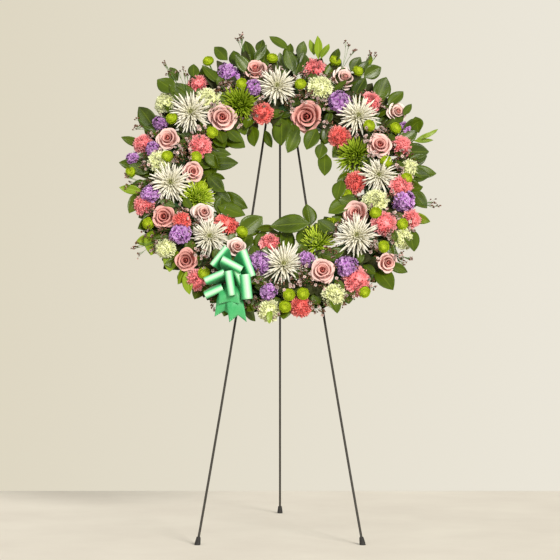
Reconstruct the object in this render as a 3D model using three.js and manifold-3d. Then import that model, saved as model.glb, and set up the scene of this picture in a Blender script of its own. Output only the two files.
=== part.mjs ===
// A standing memorial wreath: cut blooms and leaves planted in a wet foam ring, which leans on a folding
// three-leg wire easel. Millimetres, +Z up, the front faces -Y and +X is to the viewer's right.
// The origin is on the floor, at the centre of the footprint.
import * as THREE from 'three';
import { mergeVertices } from 'three/addons/utils/BufferGeometryUtils.js';
import Module from 'manifold-3d';

const wasm = await Module();
wasm.setup();

// ---------------------------------------------------------------- driving dimensions

const GAP = 0.3; // clearance left between pieces that touch

const easel = {
  wire: 7, // diameter of the leg wire
  lean: THREE.MathUtils.degToRad(22), // front legs lean back from upright
  slope: 1510, // length of the front frame, floor to bridge, along its slope
  footSpread: 465, // between the front feet
  topSpread: 45, // between the front legs at the bridge
  waist: 6, // how far each front leg bows inwards
  cornerDrop: 18, // length of the bridge's turned-down ends
  cornerRadius: 7, // of the bridge's two bends
  weldGap: 0.9, // between the end of a leg and the bridge, which meet at a slight angle
  rearReach: 800, // front feet to rear foot
  crossbarAt: 850, // up the slope
  restWire: 5, // diameter of the two rests that carry the wreath
};

const ring = {
  lean: THREE.MathUtils.degToRad(26),
  at: 1066, // centre of the ring up the easel's slope
  offset: 31, // centre of the ring's back in front of the leg wires
  shiftX: -8, // the wreath hangs slightly to the left
  middle: 310, // radius of the foam's centre line
  foamWidth: 88,
  foamDepth: 58,
  trayWall: 2.5,
  trayDepth: 20,
  lug: { width: 14, thickness: 4, hole: 3.5, rim: 3 }, // hole is a radius; rim is the bar left above it
  hangingWire: 2, // diameter
  wireX: 10, // the loop hangs beside the rear leg's eye
};

const flowers = {
  middle: 318, // radius of the crest of the flower ring
  halfWidth: 118, // from the crest to either edge
  edgeHeight: 45, // height of a bloom's face above the tray's back, at the very edge
  crestRise: 75, // how much higher a face is at the crest
  edgeTurn: THREE.MathUtils.degToRad(70), // how fast the height falls away from the crest
  edgeLean: THREE.MathUtils.degToRad(52), // how far a bloom at the edge faces sideways
  stemDepth: 24, // height of the stem's end inside the foam
};

// The layout below gives each bloom's middle as it is seen from straight in front, on the ring's leaning plane.
// Blooms on the crest stand closer to the eye, so they look larger and higher than they are.
const seen = { across: 0.985, up: 0.95, height: 105 }; // shares of the real size, and the crest's height

const matSteps = 4; // straight facets round one sector of the leaf mat
const leaves = {
  sectors: 8,
  matThickness: 7,
  outerTip: 468, // radius reached by the outer leaves at the sides
  tipRise: 46, // how much further they reach at the top, and less at the bottom
  innerTip: 150, // radius reached by the inner leaves
  lobeThickness: 6,
  lobeLow: 23.5, // height of the leaves' backs at their roots
  lobeRise: 16, // how far the outer leaves curve forwards by their tips
  lobesOutside: 4, // per sector
  lobesInside: 2,
};

// Kinds of bloom. profile is [radius, height] from the base up; the last point is the middle of the face.
// middle is how far the bloom's own middle lies behind its face.
const kinds = {
  whiteMum: {
    color: 0xf3f1e6, stem: 5, sides: 10, middle: 18, profile: [[0, 0], [13, 1], [62, 24], [58, 38], [0, 44]],
  },
  greenMum: {
    color: 0x7fa62e, stem: 5, sides: 10, middle: 18, profile: [[0, 0], [13, 1], [50, 20], [47, 38], [0, 48]],
  },
  rose: {
    color: 0xe8a5a0, stem: 5, sides: 10, middle: 18, profile: [[0, 0], [22, 6], [39, 28], [32, 47], [0, 52]],
  },
  carnation: {
    color: 0xe0636a, stem: 4, sides: 10, middle: 14, profile: [[0, 0], [10, 2], [35, 20], [29, 34], [0, 40]],
  },
  edgeCarnation: {
    onMat: true, stem: 6, sides: 6, middle: 14, profile: [[0, 0], [34, 20], [28, 36], [0, 40]],
  },
  stock: { onMat: true, stem: 6, sides: 6, middle: 14, profile: [[0, 0], [31, 14], [26, 38], [0, 44]] },
};
const stemSides = 4; // stems are pushed into the foam, so their section hardly shows

// Where the blooms stand: [clock angle in degrees from the top, distance from the ring's centre].
const layout = {
  whiteMum: [[0, 330], [48, 335], [87, 308], [129, 305], [176, 290], [226, 285], [268, 322], [312, 355]],
  greenMum: [[69, 250], [151, 240], [257, 248], [337, 295]],
  rose: [
    [22, 245], [30, 415], [57, 435], [69, 334], [116, 265], [131, 428], [157, 340], [207, 268],
    [224, 384], [243, 255], [249, 360], [276, 262], [293, 360], [322, 278], [350, 394],
  ],
  carnation: [
    [16, 420], [46, 400], [51, 245], [91, 238], [115, 352], [185, 215], [226, 212], [297, 266], [349, 240],
  ],
};

// Smaller blooms that stay joined to the leaf mat under them, placed in the same way.
const joinedBlooms = {
  edgeCarnation: [
    [22, 352], [72, 397], [84, 404], [93, 372], [103, 302], [108, 424], [118, 425], [146, 418], [157, 430],
    [171, 436], [183, 446], [215, 418], [235, 406], [244, 318], [258, 412], [281, 362], [288, 432],
    [309, 446], [324, 426],
  ],
  stock: [
    [35, 336], [65, 430], [101, 388], [145, 358], [184, 385], [191, 290], [237, 345], [263, 387], [299, 410],
    [338, 420], [347, 330],
  ],
};

const ringSides = matSteps * leaves.sectors; // facets round the foam and the tray, in line with the mat's

const bow = {
  angle: 202, // clock angle
  distance: 366,
  height: 128, // above the tray's back
  width: 150,
  drop: 136,
  depth: 60,
  tailWidth: 88,
  tailLength: 72,
  tailThickness: 8,
  pick: 4.4, // diameter
};

const footTip = { radius: 8.5, skirt: 5, neck: 5.6, height: 23, belowFloor: 9 };

// ---------------------------------------------------------------- materials

/** A plain finish. */
function finish(color, roughness, metalness = 0) {
  return new THREE.MeshStandardMaterial({ color, roughness, metalness });
}

const materials = {
  wire: finish(0x1d1a14, 0.45, 0.6),
  rubber: finish(0x141210, 0.85),
  tray: finish(0x1f4a2c, 0.5),
  foam: finish(0x3f6b3a, 0.95),
  leaf: finish(0x4d7f2d, 0.45),
  ribbon: finish(0x2fb56c, 0.3),
};

// ---------------------------------------------------------------- solids

/** A closed three.js geometry as a manifold solid; vertices closer than weld become one. */
function solid(geometry, weld = 1e-3) {
  const bare = geometry.index ? geometry : mergeVertices(geometry);
  bare.deleteAttribute('normal');
  bare.deleteAttribute('uv');
  const merged = mergeVertices(bare, weld);
  const vertProperties = new Float32Array(merged.attributes.position.array);
  const corners = merged.index.array;
  const kept = [];
  for (let i = 0; i < corners.length; i += 3) {
    const [a, b, c] = [corners[i], corners[i + 1], corners[i + 2]];
    if (a !== b && b !== c && c !== a) kept.push(a, b, c);
  }
  return new wasm.Manifold(new wasm.Mesh({ numProp: 3, vertProperties, triVerts: new Uint32Array(kept) }));
}

/** A solid's surface as a three.js geometry. */
function surface(shape) {
  const { vertProperties, triVerts } = shape.getMesh();
  const geometry = new THREE.BufferGeometry();
  geometry.setAttribute('position', new THREE.BufferAttribute(new Float32Array(vertProperties), 3));
  geometry.setIndex(new THREE.BufferAttribute(new Uint32Array(triVerts), 1));
  return geometry;
}

/** The largest connected piece of a solid, without scraps or sealed pockets that touch it at a point. */
function largest(shape) {
  const biggest = (all) => all.reduce((best, piece) => (piece.volume() > best.volume() ? piece : best));
  return biggest(solid(surface(biggest(shape.decompose()).simplify(0.01)), 2e-3).decompose());
}

/** A named mesh made from a solid. */
function part(name, shape, material) {
  const geometry = surface(shape);
  geometry.computeVertexNormals();
  const mesh = new THREE.Mesh(geometry, material);
  mesh.name = name;
  return mesh;
}

/** A round wire along a curve. */
function wireAlong(curve, radius, steps) {
  const section = new THREE.Shape();
  section.absarc(0, 0, radius, 0, 2 * Math.PI);
  const options = { steps, curveSegments: 5, bevelEnabled: false, extrudePath: curve };
  return solid(new THREE.ExtrudeGeometry(section, options));
}

/** The turn that brings one direction onto another. */
function turnBetween(from, to) {
  return new THREE.Quaternion().setFromUnitVectors(from.clone().normalize(), to.clone().normalize());
}

/** A straight round bar between two points. */
function bar(from, to, radius, sides) {
  const along = to.clone().sub(from);
  const geometry = new THREE.CylinderGeometry(radius, radius, along.length(), sides);
  geometry.applyQuaternion(turnBetween(new THREE.Vector3(0, 1, 0), along));
  geometry.translate(...from.clone().add(to).multiplyScalar(0.5).toArray());
  return solid(geometry);
}

/** A profile of [radius, height] points turned about the height axis, which becomes +Z. */
function turned(profile, segments) {
  const points = profile.map(([radius, height]) => new THREE.Vector2(radius, height));
  return solid(new THREE.LatheGeometry(points, segments).rotateX(Math.PI / 2));
}

/** A box given by its centre and size. */
function block(size, centre) {
  return solid(new THREE.BoxGeometry(...size).translate(...centre));
}

// ---------------------------------------------------------------- easel

/** A point on the plane of the front legs: across, up the slope, and out in front of it. */
function onSlope(across, up, out = 0) {
  const [sin, cos] = [Math.sin(easel.lean), Math.cos(easel.lean)];
  return new THREE.Vector3(across, up * sin - out * cos, up * cos + out * sin);
}

const wireRadius = easel.wire / 2;
const hinge = onSlope(0, easel.slope);
const rearFoot = new THREE.Vector3(0, easel.rearReach, 0);

/** The centre line of a front leg; side is -1 for the left one. */
function frontLegLine(side) {
  const foot = onSlope((side * easel.footSpread) / 2, 12);
  const top = onSlope((side * easel.topSpread) / 2, easel.slope - easel.cornerDrop - easel.weldGap);
  const middle = foot.clone().add(top).multiplyScalar(0.5);
  middle.x -= side * 2 * easel.waist;
  return new THREE.QuadraticBezierCurve3(foot, middle, top);
}

/** The point of a front leg's centre line at a length up the slope. */
function onFrontLeg(side, up) {
  const line = frontLegLine(side);
  const bottom = line.v0.z;
  const t = (onSlope(0, up).z - bottom) / (line.v2.z - bottom);
  return line.getPoint(t);
}

/** A bell-shaped rubber tip round the end of a leg, cut flat where it stands on the floor. */
function legTip(foot, direction) {
  const { radius, skirt, neck, height, belowFloor } = footTip;
  const profile = [[0, -belowFloor], [radius, -belowFloor], [radius, skirt], [neck + 1, height - 4],
    [neck, height], [0, height]];
  const turn = turnBetween(new THREE.Vector3(0, 0, 1), direction);
  const place = new THREE.Matrix4().compose(foot, turn, new THREE.Vector3(1, 1, 1));
  const below = block([60, 60, 30], [foot.x, foot.y, -15]);
  return turned(profile, 14).transform(place.toArray()).subtract(below);
}

function easelParts() {
  const made = [];
  for (const [side, word] of [[-1, 'left'], [1, 'right']]) {
    const line = frontLegLine(side);
    const direction = line.getTangent(0);
    const foot = line.v0.clone().addScaledVector(direction, -line.v0.z / direction.z);
    const leg = wireAlong(line, wireRadius, 8);
    const socketEnd = line.v0.clone().addScaledVector(direction, -GAP);
    const socket = bar(socketEnd, line.getPoint(0.05), wireRadius + GAP, 10);
    made.push(part(`front_${word}_leg`, leg, materials.wire));
    made.push(part(`front_${word}_foot_tip`, legTip(foot, direction).subtract(socket), materials.rubber));
  }

  // The bridge joins the two front legs and is the hinge pin of the rear leg.
  const half = easel.topSpread / 2;
  const drop = easel.slope - easel.cornerDrop;
  const bend = easel.cornerRadius;
  const bridge = [[-half, drop], [-half, easel.slope - bend], [-half + bend, easel.slope],
    [half - bend, easel.slope], [half, easel.slope - bend], [half, drop]];
  const bridgePath = new THREE.CurvePath();
  const corners = bridge.map(([across, up]) => onSlope(across, up));
  bridgePath.add(new THREE.LineCurve3(corners[0], corners[1]));
  bridgePath.add(new THREE.QuadraticBezierCurve3(corners[1], onSlope(-half, easel.slope), corners[2]));
  bridgePath.add(new THREE.LineCurve3(corners[2], corners[3]));
  bridgePath.add(new THREE.QuadraticBezierCurve3(corners[3], onSlope(half, easel.slope), corners[4]));
  bridgePath.add(new THREE.LineCurve3(corners[4], corners[5]));
  made.push(part('top_bridge', wireAlong(bridgePath, wireRadius, 12), materials.wire));

  // The rear leg: a wire with an eye bent round the bridge.
  const eyeRadius = 2 * wireRadius + 0.9;
  const down = rearFoot.clone().sub(hinge).normalize();
  const eye = solid(new THREE.TorusGeometry(eyeRadius, wireRadius, 8, 16).rotateY(Math.PI / 2))
    .translate(hinge.toArray());
  const rearEnd = rearFoot.clone().addScaledVector(down, -12);
  const rod = bar(hinge.clone().addScaledVector(down, eyeRadius), rearEnd, wireRadius, 10);
  made.push(part('rear_leg', rod.add(eye), materials.wire));
  const up = down.clone().negate();
  const rearSocket = bar(rearEnd.clone().addScaledVector(up, -GAP), rearEnd.clone().addScaledVector(up, 60),
    wireRadius + GAP, 10);
  made.push(part('rear_foot_tip', legTip(rearFoot, up).subtract(rearSocket), materials.rubber));

  // A crossbar between the front legs, and a rest on each leg that carries the wreath's lower edge.
  const ends = [-1, 1].map((side) => {
    const point = onFrontLeg(side, easel.crossbarAt);
    return point.setX(point.x - side * (wireRadius + 1));
  });
  made.push(part('crossbar', bar(ends[0], ends[1], wireRadius - 0.5, 10), materials.wire));
  for (const [side, word] of [[-1, 'left'], [1, 'right']]) {
    const up = restHeight(side);
    const across = onFrontLeg(side, up).x;
    const reach = onRingSlope(-trayRadius, ring.trayDepth).out;
    const from = onSlope(across, up, wireRadius + GAP);
    const rest = bar(from, onSlope(across, up, reach), easel.restWire / 2, 8);
    made.push(part(`wreath_rest_${word}`, rest, materials.wire));
  }
  made.push(hangingWire());
  return made;
}

const trayRadius = ring.middle + ring.foamWidth / 2 + GAP + ring.trayWall;
const lugBar = trayRadius + 2 * ring.lug.hole + ring.lug.rim / 2; // radius of the bar above the lug's hole

/** A point on the ring's upright diameter, as a length up the easel's slope and a distance out from it. */
function onRingSlope(upRing, height) {
  const turn = ring.lean - easel.lean;
  return {
    up: ring.at + upRing * Math.cos(turn) + height * Math.sin(turn),
    out: ring.offset - upRing * Math.sin(turn) + height * Math.cos(turn),
  };
}

/** How far up its leg a rest stands, so that the tray's rim lies on it. */
function restHeight(side) {
  const across = onFrontLeg(side, ring.at - trayRadius).x - ring.shiftX;
  const radius = trayRadius + easel.restWire / 2 + 3 * GAP;
  return onRingSlope(-Math.sqrt(radius ** 2 - across ** 2), 0).up;
}

/** A long wire loop through the tray's lug and over the bridge, which keeps the wreath on the easel. */
function hangingWire() {
  const lug = onRingSlope(lugBar, ring.lug.thickness / 2);
  const low = onSlope(0, lug.up, lug.out);
  const along = hinge.clone().sub(low);
  const loop = new THREE.TorusGeometry(wireRadius + 1.6, ring.hangingWire / 2, 6, 12);
  const position = loop.attributes.position;
  for (let i = 0; i < position.count; i += 1) {
    if (position.getY(i) > -1e-6) position.setY(i, position.getY(i) + along.length());
  }
  loop.rotateY(Math.PI / 2);
  loop.rotateX(Math.PI / 2);
  loop.applyQuaternion(turnBetween(new THREE.Vector3(0, 0, 1), along)).translate(ring.wireX, low.y, low.z);
  return part('hanging_wire', solid(loop), materials.wire);
}

// ---------------------------------------------------------------- wreath
// Inside the wreath, X runs right, Y up the ring and Z out of its face; the tray's back is at Z = 0.

/** A point of the wreath at a clock angle, a distance from the ring's centre and a height. */
function onRing(angle, distance, height) {
  const turn = THREE.MathUtils.degToRad(angle);
  return new THREE.Vector3(distance * Math.sin(turn), distance * Math.cos(turn), height);
}

/** The height and the outward lean of a bloom's face at a distance from the ring's centre. */
function crown(distance) {
  const across = THREE.MathUtils.clamp((distance - flowers.middle) / flowers.halfWidth, -1, 1);
  const height = flowers.edgeHeight + flowers.crestRise * Math.cos(flowers.edgeTurn * across);
  return { height, lean: flowers.edgeLean * across };
}

/** The clock angle and distance of the face of a bloom whose middle is seen at a layout place. */
function standing(angle, distance, middle) {
  const wanted = onRing(angle, distance, 0);
  let face = wanted.clone();
  for (let i = 0; i < 8; i += 1) {
    const { height, lean } = crown(face.length());
    const lower = seen.height - (height - middle * Math.cos(lean));
    const outwards = face.clone().normalize().multiplyScalar(middle * Math.sin(lean));
    face = new THREE.Vector3(wanted.x * seen.across, wanted.y * seen.up + lower * Math.tan(ring.lean), 0);
    face.add(outwards);
  }
  return [THREE.MathUtils.radToDeg(Math.atan2(face.x, face.y)), face.length()];
}

/** A bloom's head and stem; grow makes the same shape larger all round, to cut a space for it. */
function bloom(kind, angle, distance, grow = 0) {
  const { profile, stem, sides, onMat } = kinds[kind];
  const { height: faceHeight, lean } = crown(distance);
  const face = onRing(angle, distance, faceHeight);
  const outwards = onRing(angle, 1, 0);
  const axis = outwards.clone().multiplyScalar(Math.sin(lean)).setZ(Math.cos(lean));
  const headHeight = profile.at(-1)[1];
  const base = face.clone().addScaledVector(axis, -headHeight);

  const grown = profile.map(([radius, height], i) => {
    if (i === 0) return [0, height - grow];
    if (i === profile.length - 1) return [0, height + grow];
    return [radius + grow, height];
  });
  const turn = turnBetween(new THREE.Vector3(0, 0, 1), axis);
  const place = new THREE.Matrix4().compose(base, turn, new THREE.Vector3(1, 1, 1));
  const head = turned(grown, sides).transform(place.toArray());

  const stemTop = base.clone().addScaledVector(axis, 4);
  const stemEnd = onMat ? nearestOnMat(angle, distance)
    : onRing(angle, ring.middle + (distance - ring.middle) * 0.3, flowers.stemDepth);
  stemEnd.addScaledVector(stemEnd.clone().sub(stemTop).normalize(), grow);
  return head.add(bar(stemTop, stemEnd, stem / 2 + grow, stemSides));
}

/** A point inside the leaf mat, on the side of the foam that a bloom at this distance faces. */
function nearestOnMat(angle, distance) {
  const half = (ring.foamWidth + leaves.matThickness) / 2;
  const across = distance - ring.middle;
  const top = ring.trayWall + ring.foamDepth + leaves.matThickness / 2;
  if (Math.abs(across) < half) return onRing(angle, distance, top);
  return onRing(angle, ring.middle + Math.sign(across) * half, top - 14);
}

/** A ring-shaped sector with a C-shaped section that hugs the foam, from one clock angle to another. */
function matSector(from, to) {
  const inside = ring.middle - ring.foamWidth / 2;
  const outside = ring.middle + ring.foamWidth / 2;
  const low = ring.trayDepth + 3;
  const top = ring.trayWall + ring.foamDepth + GAP;
  const t = leaves.matThickness;
  const profile = [[outside + GAP, low], [outside + GAP + t, low], [outside + t, top], [outside - t, top + t],
    [inside + t, top + t], [inside - t, top], [inside - GAP - t, low], [inside - GAP, low],
    [inside - GAP, top], [outside + GAP, top]];
  return sweptSector(profile, from, to, matSteps);
}

/** Turns a closed [radius, height] section about the ring's axis between two clock angles. */
function sweptSector(profile, from, to, steps) {
  const shape = new THREE.Shape(profile.map(([radius, height]) => new THREE.Vector2(radius, height)));
  const flat = new THREE.ExtrudeGeometry(shape, { steps, depth: 1, bevelEnabled: false });
  const position = flat.attributes.position;
  for (let i = 0; i < position.count; i += 1) {
    const angle = THREE.MathUtils.lerp(from, to, position.getZ(i));
    const point = onRing(angle, position.getX(i), position.getY(i));
    position.setXYZ(i, point.x, point.y, point.z);
  }
  return solid(flat);
}

/** A fringe of leaf-shaped lobes between two clock angles, from a root radius to the tips, rising to them. */
function leafFringe(from, to, root, tip, lobes, rise) {
  const perLobe = 6;
  const outline = [];
  const total = lobes * perLobe;
  for (let i = 0; i <= total; i += 1) {
    const share = Math.abs(Math.sin((Math.PI * i) / perLobe)) ** 0.6;
    const reach = THREE.MathUtils.lerp(THREE.MathUtils.lerp(root, tip, 0.35), tip, share);
    outline.push(onRing(THREE.MathUtils.lerp(from, to, i / total), reach, 0));
  }
  for (let i = 4; i >= 0; i -= 1) outline.push(onRing(THREE.MathUtils.lerp(from, to, i / 4), root, 0));
  const shape = new THREE.Shape(outline.map((point) => new THREE.Vector2(point.x, point.y)));
  const fringe = new THREE.ExtrudeGeometry(shape, { depth: leaves.lobeThickness, bevelEnabled: false });
  const position = fringe.attributes.position;
  for (let i = 0; i < position.count; i += 1) {
    const share = (Math.hypot(position.getX(i), position.getY(i)) - root) / (tip - root);
    position.setZ(i, position.getZ(i) + leaves.lobeLow + rise * share);
  }
  return solid(fringe);
}

/** The plastic tray, with the lug that the hanging wire runs through. */
function tray() {
  const outside = trayRadius;
  const inside = ring.middle - ring.foamWidth / 2 - GAP - ring.trayWall;
  const [floor, rim, wall] = [ring.trayWall, ring.trayDepth, ring.trayWall];
  const profile = [[inside, 0], [outside, 0], [outside, rim], [outside - wall, rim], [outside - wall, floor],
    [inside + wall, floor], [inside + wall, rim], [inside, rim], [inside, 0]];
  const { width, thickness, hole, rim: lugRim } = ring.lug;
  const lugHeight = 2 * hole + lugRim + 1.5;
  const x = ring.wireX - ring.shiftX;
  const plate = block([width, lugHeight, thickness], [x, outside - 2.4 + lugHeight / 2, thickness / 2]);
  const centre = new THREE.Vector3(x, outside + hole, 0);
  const drill = bar(centre.clone().setZ(-5), centre.clone().setZ(thickness + 5), hole, 12);
  return turned(profile, ringSides).add(plate.subtract(drill));
}

/** The block of wet foam that every stem is pushed into. */
function foam() {
  const outside = ring.middle + ring.foamWidth / 2;
  const inside = ring.middle - ring.foamWidth / 2;
  const low = ring.trayWall + GAP;
  const top = ring.trayWall + ring.foamDepth;
  return turned([[inside, low], [outside, low], [outside, top], [inside, top], [inside, low]], ringSides);
}

function wreathParts() {
  const made = [];
  const spaces = []; // grown copies of what has been placed, which later pieces are cut by

  // Cuts a new piece by everything placed before it that it could touch.
  const fitted = (shape) => {
    const box = shape.boundingBox();
    const near = spaces.filter((space) => [0, 1, 2].every(
      (k) => space.box.min[k] < box.max[k] && space.box.max[k] > box.min[k],
    ));
    return largest(near.reduce((left, space) => left.subtract(space.shape), shape));
  };
  const reserve = (shape) => spaces.push({ shape, box: shape.boundingBox() });

  // Bow: a knot of loops, two tails under it, and the wired pick that holds it in the foam.
  const knot = onRing(bow.angle, bow.distance, bow.height);
  const loops = (grow) => solid(new THREE.SphereGeometry(0.5, 12, 8).scale(bow.width + grow, bow.drop + grow,
    bow.depth + grow)).translate(knot.toArray());
  const tailTop = knot.y - bow.drop * 0.42;
  const tails = (grow) => {
    const half = bow.tailWidth / 2 + grow;
    const outline = [[-half * 0.5, 0], [-half, -bow.tailLength * 0.8], [-half * 0.5, -bow.tailLength],
      [half * 0.6, -bow.tailLength], [half, -bow.tailLength * 0.7], [half * 0.5, 0]];
    const shape = new THREE.Shape(outline.map(([x, y]) => new THREE.Vector2(knot.x + x, tailTop + y)));
    const depth = bow.tailThickness + 2 * grow;
    const sheet = new THREE.ExtrudeGeometry(shape, { depth, bevelEnabled: false });
    return solid(sheet.translate(0, 0, knot.z - depth / 2));
  };
  const pickEnd = onRing(bow.angle, ring.middle + 12, flowers.stemDepth);
  const pick = (grow) => bar(knot, pickEnd, bow.pick / 2 + grow, 6);
  made.push(part('ribbon_bow', loops(0), materials.ribbon));
  reserve(loops(2 * GAP));
  made.push(part('bow_tails', fitted(tails(0)), materials.ribbon));
  reserve(tails(GAP));
  made.push(part('bow_pick', fitted(pick(0)), materials.wire));
  reserve(pick(GAP));

  // Large blooms, the ones that stand out furthest first.
  const bloomNames = { whiteMum: 'white_spider_mum', greenMum: 'green_spider_mum', rose: 'pink_rose',
    carnation: 'coral_carnation' };
  for (const [kind, name] of Object.entries(bloomNames)) {
    const material = finish(kinds[kind].color, 0.7);
    layout[kind].forEach((place, i) => {
      const stands = standing(...place, kinds[kind].middle);
      made.push(part(`${name}_${i + 1}`, fitted(bloom(kind, ...stands)), material));
      reserve(bloom(kind, ...stands, 2 * GAP));
    });
  }

  // Leaf mat over the foam, with its fringes of leaves and its small blooms, in sectors.
  const step = 360 / leaves.sectors;
  const seam = 0.06; // degrees left free on each side of a sector
  const sectorOf = (angle) => Math.floor(angle / step);
  const smallBloom = (kind, place) => {
    const [angle, distance] = standing(...place, kinds[kind].middle);
    const sector = sectorOf((angle + 360) % 360);
    return { sector, shape: bloom(kind, angle, distance), space: bloom(kind, angle, distance, 2 * GAP) };
  };
  const small = [];
  for (const [kind, places] of Object.entries(joinedBlooms)) {
    for (const place of places) small.push(smallBloom(kind, place));
  }
  for (let i = 0; i < leaves.sectors; i += 1) {
    const [from, to] = [i * step + seam, (i + 1) * step - seam];
    const outside = ring.middle + ring.foamWidth / 2 + GAP + 2;
    const inside = ring.middle - ring.foamWidth / 2 - GAP - 2;
    const outerTip = leaves.outerTip + leaves.tipRise * Math.cos(THREE.MathUtils.degToRad((from + to) / 2));
    let sector = matSector(from, to)
      .add(leafFringe(from, to, outside, outerTip, leaves.lobesOutside, leaves.lobeRise))
      .add(leafFringe(from, to, inside, leaves.innerTip, leaves.lobesInside, 0));
    for (const other of small.filter((one) => one.sector !== i)) sector = sector.subtract(other.space);
    for (const own of small.filter((one) => one.sector === i)) {
      const earlier = small.filter((one) => one.sector < i);
      sector = sector.add(earlier.reduce((left, one) => left.subtract(one.space), own.shape));
    }
    made.push(part(`leaf_mat_${i + 1}`, fitted(sector), materials.leaf));
  }
  small.forEach((one) => reserve(one.space));

  made.push(part('foam_ring', fitted(foam()), materials.foam));
  made.push(part('foam_tray', fitted(tray()), materials.tray));
  return made;
}

// ---------------------------------------------------------------- assembly

const group = new THREE.Group();
group.add(...easelParts());

const wreath = new THREE.Group();
wreath.position.copy(onSlope(ring.shiftX, ring.at, ring.offset));
wreath.rotation.x = Math.PI / 2 - ring.lean;
wreath.add(...wreathParts());
group.add(wreath);

group.position.y = -easel.rearReach / 2;

export default group;
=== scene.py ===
"""A memorial wreath on a folding wire easel: the looks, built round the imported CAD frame.

Blooms, leaves and ribbon are made as grids of points in numpy, in millimetres, in the wreath's own frame:
X right, Y up the ring and Z out of its face, with the tray's back at Z = 0. make_piece turns that into the
row frame.
"""
import math

import bpy
import numpy as np
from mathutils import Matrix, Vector


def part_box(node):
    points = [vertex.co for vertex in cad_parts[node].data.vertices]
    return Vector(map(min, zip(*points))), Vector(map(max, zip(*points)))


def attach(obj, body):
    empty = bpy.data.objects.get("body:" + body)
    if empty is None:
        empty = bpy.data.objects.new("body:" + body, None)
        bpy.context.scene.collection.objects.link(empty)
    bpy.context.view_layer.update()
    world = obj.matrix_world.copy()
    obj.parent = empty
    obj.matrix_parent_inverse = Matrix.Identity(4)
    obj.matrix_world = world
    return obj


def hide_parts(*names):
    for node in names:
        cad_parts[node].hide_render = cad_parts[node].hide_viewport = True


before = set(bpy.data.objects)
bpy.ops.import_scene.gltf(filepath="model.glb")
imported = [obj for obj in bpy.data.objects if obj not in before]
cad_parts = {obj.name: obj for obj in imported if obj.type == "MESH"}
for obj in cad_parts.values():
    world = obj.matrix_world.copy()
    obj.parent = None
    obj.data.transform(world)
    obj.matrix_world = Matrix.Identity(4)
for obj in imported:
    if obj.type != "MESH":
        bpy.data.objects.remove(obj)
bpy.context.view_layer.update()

MM = 0.001
WREATH = "wreath_and_front_frame"

# ---- the wreath's own frame

RING_LEAN = math.radians(26)
TRAY_DEPTH = 20
tray_low, tray_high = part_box("foam_tray")
tray_radius = (tray_high.x - tray_low.x) / 2
ring_right = np.array([1.0, 0.0, 0.0])
ring_up = np.array([0.0, math.sin(RING_LEAN), math.cos(RING_LEAN)])
ring_out = np.array([0.0, -math.cos(RING_LEAN), math.sin(RING_LEAN)])
ring_centre = np.array([
    (tray_low.x + tray_high.x) / 2,
    tray_low.y + tray_radius * math.sin(RING_LEAN) + TRAY_DEPTH * MM * math.cos(RING_LEAN),
    tray_low.z + tray_radius * math.cos(RING_LEAN),
])

FOAM_MIDDLE = 310  # radius of the foam ring's centre line
CREST = 318  # radius of the crest of the flower ring
HALF_WIDTH = 118  # of the flower ring, from its crest
EDGE_HEIGHT = 45
CREST_RISE = 75
EDGE_TURN = math.radians(70)  # how far round its rounded section the ring's edges lie
EDGE_LEAN = math.radians(52)  # how far the blooms at its edges lean
STEM_RADIUS = 2.4
STEM_DEPTH = 24  # height over the tray's back at which the stems end

# The layouts below list what is seen from straight in front, on the plane of the ring's crest.
SEEN_ACROSS = 0.985
SEEN_UP = 0.975
SEEN_STRETCH = 0.00004  # how much more the ring is stretched for each millimetre up it
SEEN_HEIGHT = 105
# How the leaf lists' places are scaled and shifted on an upright plane through the ring's centre.
LIST_ACROSS, LIST_RIGHT = 1.036, 14
LIST_UP, LIST_RAISE = 0.9, 33
EYE = (0.0, -6.26, 0.751)  # where the photograph is taken from, in metres
TO_VIEWER = np.array([0.0, -math.sin(RING_LEAN), math.cos(RING_LEAN)])


def ring_point(clock, distance, height):
    """Points of the wreath at clock angles in degrees from the top, distances and heights."""
    turn = np.radians(clock)
    return np.stack(np.broadcast_arrays(distance * np.sin(turn), distance * np.cos(turn), height), -1)


def across_band(distance):
    """Where a distance lies across the flower ring: -1 at its inner edge, 0 at its crest, 1 outside."""
    return np.clip((np.asarray(distance, float) - CREST) / HALF_WIDTH, -1, 1)


def face_height(distance):
    """Height of the blooms' faces above the tray's back."""
    return EDGE_HEIGHT + CREST_RISE * np.cos(EDGE_TURN * across_band(distance))


def face_axis(clock, distance):
    """The direction that a bloom there faces."""
    lean = EDGE_LEAN * across_band(distance)
    axis = ring_point(clock, np.sin(lean), 0.0)
    axis[..., 2] = np.cos(lean)
    return axis


def unit(vectors):
    """Vectors at length 1."""
    return vectors / np.maximum(np.linalg.norm(vectors, axis=-1, keepdims=True), 1e-9)


def axes_round(axis, guide=(0.3, 0.2, 0.9)):
    """Three axes at right angles as rows, the last one along axis."""
    side = unit(np.cross(axis, guide))
    return np.stack([side, np.cross(axis, side), axis])


def as_seen(across, up, height):
    """The point at a height above the tray's back that shows at a place of the layouts."""
    shift = math.tan(RING_LEAN) * (SEEN_HEIGHT - height)
    raised = (SEEN_UP + SEEN_STRETCH * up) * up + shift
    return np.stack(np.broadcast_arrays(SEEN_ACROSS * across, raised, height), -1)


def in_view(across, up, height):
    """The point at a height above the tray's back that shows, from EYE, at a place of the leaf lists."""
    place = np.stack([LIST_ACROSS * across + LIST_RIGHT, 0 * across, LIST_UP * up + LIST_RAISE], -1)
    aim = ring_centre / MM + place
    eye = np.array(EYE) / MM
    sight = aim - eye
    middle = ring_centre / MM + ring_out * height[:, None]
    reach = ((middle - eye) @ ring_out) / (sight @ ring_out)
    place = eye + sight * reach[:, None] - ring_centre / MM
    return np.stack([place @ ring_right, place @ ring_up, place @ ring_out], -1)


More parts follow.
